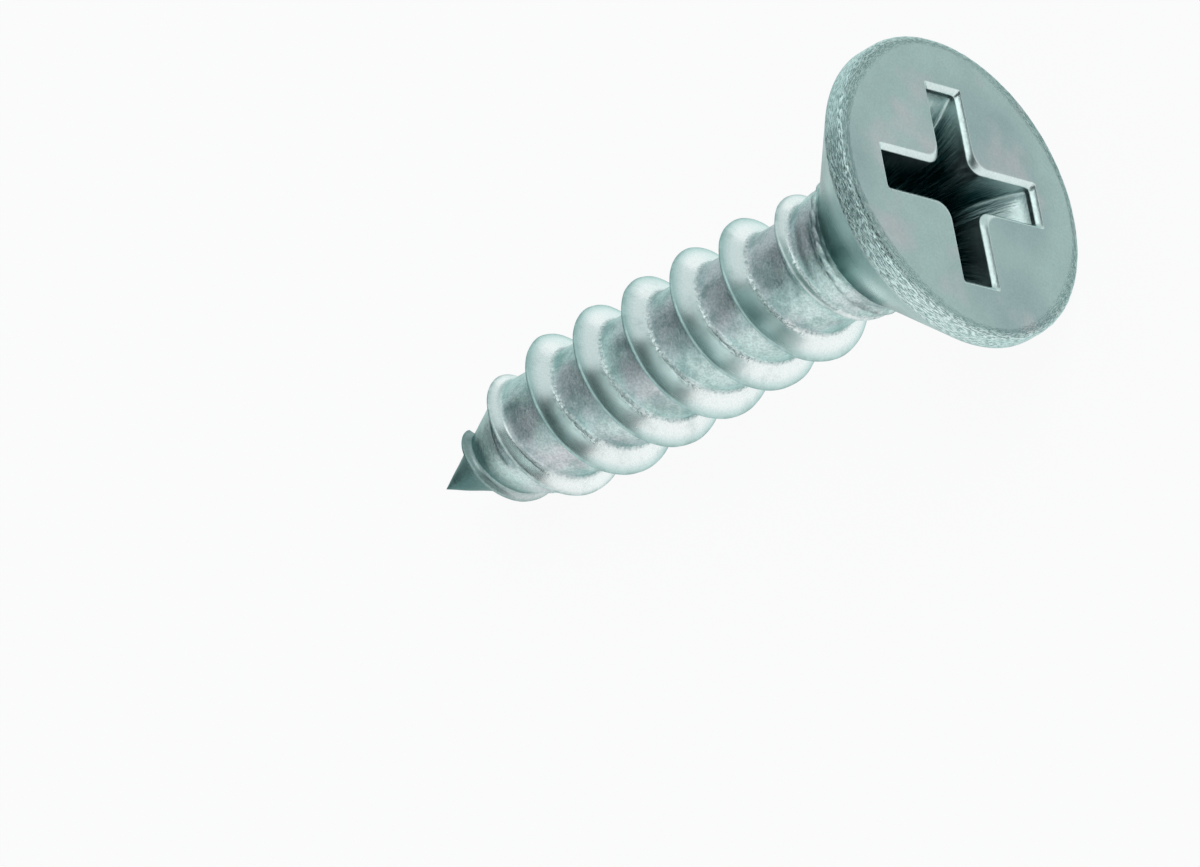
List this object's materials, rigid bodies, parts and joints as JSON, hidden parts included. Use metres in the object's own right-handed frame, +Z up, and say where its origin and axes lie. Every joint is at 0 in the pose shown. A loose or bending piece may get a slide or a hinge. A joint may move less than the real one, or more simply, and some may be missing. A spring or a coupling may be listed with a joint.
{
  "type": "countersunk cross-recess tapping screw",
  "caption": "Zinc-plated countersunk tapping screw with a cross recess, a coarse spaced thread and a sharp point.",
  "frame": {"origin": "on the floor under the middle of the screw's box, as it lies at rest", "axes": "+Z up; +X along the screw from its point to its head, level, so that the screw's own axis rises from the point to the head by 8.5 degrees in the XZ plane; +Y across the screw"},
  "size_m": [0.019, 0.008, 0.008],
  "materials": {
    "zinc_plate": "bright zinc plate with a faint blue passivate, satin"
  },
  "bodies": {
    "root": {"screw": "zinc_plate"}
  },
  "joints": []
}
